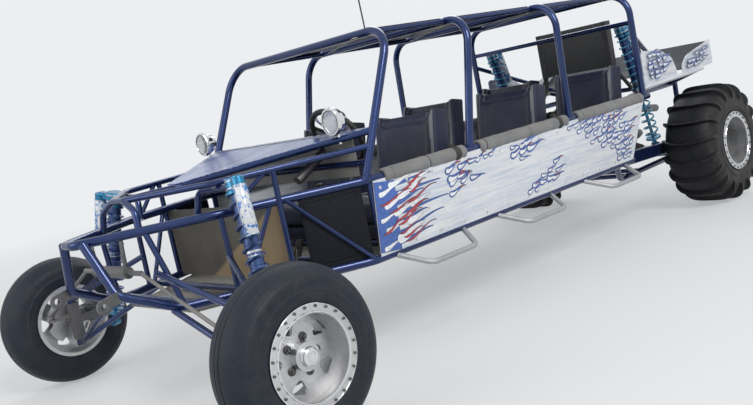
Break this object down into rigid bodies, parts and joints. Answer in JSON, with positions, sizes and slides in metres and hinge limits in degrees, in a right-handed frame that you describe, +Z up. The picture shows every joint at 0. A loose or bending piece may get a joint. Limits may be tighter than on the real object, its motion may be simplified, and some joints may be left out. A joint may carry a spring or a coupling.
{
  "type": "dune buggy",
  "caption": "Long open dune buggy: bent-tube frame with hoops over seat rows, long-travel front arms, steered front wheels and wide paddle tyres behind.",
  "frame": {"origin": "ground level under the centre of the bounding box", "axes": "+X forward to the nose, +Y to the driver's side (left), +Z up"},
  "size_m": [5.054, 2.499, 2.5051],
  "materials": {
    "frame_blue": "metallic gloss",
    "panel_white": "gloss with painted flames",
    "hood_blue": "metallic gloss with fine streaks",
    "sheet_navy": "satin",
    "aluminium_sheet": "brushed, worn",
    "foam_grey": "matte foam sleeve",
    "seat_vinyl": "grained vinyl",
    "tyre": "dusty",
    "wheel_silver": "machined",
    "steel_grey": "worn",
    "shock_turquoise": "anodised",
    "engine_dark": "oily",
    "chrome": "polished",
    "spring_steel": "bright, oiled",
    "intake_silver": "cast, oily",
    "black_plastic": "matte",
    "wing_dark": "mottled"
  },
  "bodies": {
    "chassis": {"belt_rail": "frame_blue", "lower_rails": "frame_blue", "floor_crossbars": "frame_blue", "side_posts": "frame_blue", "hoop_front": "frame_blue", "hoop_second": "frame_blue", "hoop_third": "frame_blue", "hoop_rear": "frame_blue", "roof_rails": "frame_blue", "roof_sheets": "sheet_navy", "hood_rail": "frame_blue", "nose_hoop": "frame_blue", "nose_braces": "frame_blue", "upper_rails": "frame_blue", "tow_eyes": "steel_grey", "footwell_panels": "aluminium_sheet", "front_springs": "spring_steel", "rear_springs": "spring_steel", "engine_intake": "intake_silver", "engine_rail_upper": "frame_blue", "engine_rails_lower": "frame_blue", "engine_braces": "frame_blue", "belly_pan": "aluminium_sheet", "hood": "hood_blue", "side_panel_left": "panel_white", "side_panel_right": "panel_white", "rail_pads": "foam_grey", "side_steps": "steel_grey", "seat_row_1": "seat_vinyl", "seat_row_2": "seat_vinyl", "seat_row_3": "seat_vinyl", "engine": "engine_dark", "transaxle": "engine_dark", "radiator": "engine_dark", "tail_fins": "panel_white", "tail_wing": "wing_dark", "front_arms": "frame_blue", "front_shocks": "shock_turquoise", "rack_housing": "steel_grey", "rear_arms": "frame_blue", "rear_shocks": "shock_turquoise", "steering_column": "steel_grey", "dash": "aluminium_sheet", "headlamps": "chrome", "antenna": "black_plastic", "exhaust": "steel_grey"},
    "steering_wheel": {"steering_wheel": "black_plastic"},
    "rack": {"steering_rack": "steel_grey"},
    "knuckle_left": {"front_knuckle_left": "steel_grey"},
    "knuckle_right": {"front_knuckle_right": "steel_grey"},
    "front_wheel_left": {"front_tyre_left": "tyre", "front_rim_left": "wheel_silver"},
    "front_wheel_right": {"front_tyre_right": "tyre", "front_rim_right": "wheel_silver"},
    "rear_wheel_left": {"rear_tyre_left": "tyre", "rear_rim_left": "wheel_silver", "halfshaft_left": "steel_grey"},
    "rear_wheel_right": {"rear_tyre_right": "tyre", "rear_rim_right": "wheel_silver", "halfshaft_right": "steel_grey"}
  },
  "joints": [
    {"name": "steer_left", "type": "hinge", "parent": "chassis", "child": "knuckle_left", "pos_m": [2.1585, 0.985, 0.365], "axis": [0, 0, 1], "range_deg": [-28, 28]},
    {"name": "steer_right", "type": "hinge", "parent": "chassis", "child": "knuckle_right", "pos_m": [2.1585, -0.985, 0.365], "axis": [0, 0, 1], "range_deg": [-28, 28]},
    {"name": "rack_slide", "type": "slide", "parent": "chassis", "child": "rack", "axis": [0, 1, 0], "range_m": [-0.064, 0.064]},
    {"name": "steering_wheel_turn", "type": "hinge", "parent": "chassis", "child": "steering_wheel", "pos_m": [1.0935, 0.37, 1.105], "axis": [-0.8829, 0, 0.4695], "range_deg": [-225, 225]},
    {"name": "front_spin_left", "type": "hinge", "parent": "knuckle_left", "child": "front_wheel_left", "pos_m": [2.1585, 1.132, 0.365], "axis": [0, 1, 0], "continuous": true},
    {"name": "front_spin_right", "type": "hinge", "parent": "knuckle_right", "child": "front_wheel_right", "pos_m": [2.1585, -1.132, 0.365], "axis": [0, 1, 0], "continuous": true},
    {"name": "rear_spin_left", "type": "hinge", "parent": "chassis", "child": "rear_wheel_left", "pos_m": [-2.0215, 0.838, 0.43], "axis": [0, 1, 0], "continuous": true},
    {"name": "rear_spin_right", "type": "hinge", "parent": "chassis", "child": "rear_wheel_right", "pos_m": [-2.0215, -0.838, 0.43], "axis": [0, 1, 0], "continuous": true}
  ],
  "couplings": [
    {"joint": "steer_right", "follows": "steer_left", "ratio": 1},
    {"joint": "rack_slide", "follows": "steer_left", "m_per_rad": 0.13},
    {"joint": "steering_wheel_turn", "follows": "steer_left", "ratio": 8}
  ]
}
